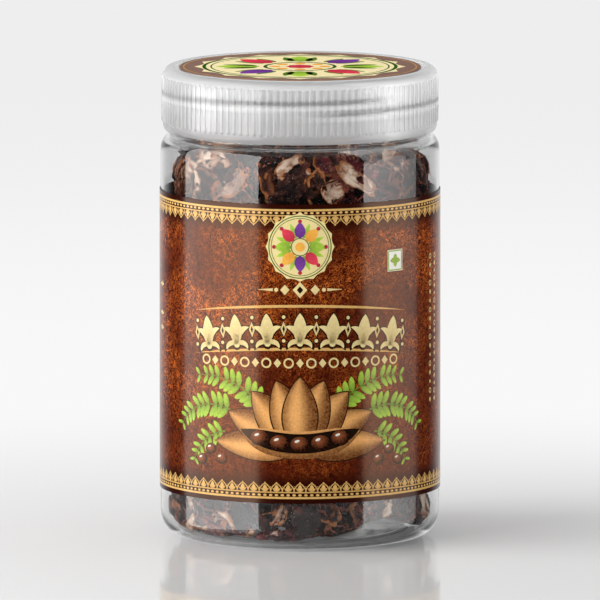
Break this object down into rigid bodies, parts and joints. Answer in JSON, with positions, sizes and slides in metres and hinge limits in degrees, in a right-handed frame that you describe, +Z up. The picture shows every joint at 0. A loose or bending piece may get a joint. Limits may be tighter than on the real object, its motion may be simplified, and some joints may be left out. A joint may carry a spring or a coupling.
{
  "type": "screw-top jar of dried tamarind",
  "caption": "Clear round food jar with a wrapped label and a ribbed screw lid over a foam liner, filled with torn pieces of dried tamarind pulp.",
  "frame": {"origin": "the middle of the base, on the surface that the jar stands on", "axes": "+Z up along the jar's axis, -Y towards the label's front, +X to the right as the label is read"},
  "size_m": [0.0966, 0.0968, 0.162],
  "materials": {
    "clear_plastic": "gloss",
    "printed_film": "gloss",
    "tamarind_pulp": "satin",
    "foam": "matte",
    "milky_plastic": "satin",
    "printed_sticker": "satin"
  },
  "bodies": {
    "jar": {"jar": "clear_plastic", "label": "printed_film", "tamarind": "tamarind_pulp"},
    "liner": {"liner": "foam"},
    "lid": {"lid": "milky_plastic", "lid_sticker": "printed_sticker"}
  },
  "joints": [
    {"name": "lid_rise", "type": "slide", "parent": "jar", "child": "liner", "axis": [0, 0, 1], "range_m": [0, 0.0045]},
    {"name": "lid_turn", "type": "hinge", "parent": "liner", "child": "lid", "pos_m": [0, 0, 0.15], "axis": [0, 0, 1], "range_deg": [0, 400]}
  ],
  "couplings": [
    {"joint": "lid_rise", "follows": "lid_turn", "m_per_rad": 0.00063662}
  ]
}
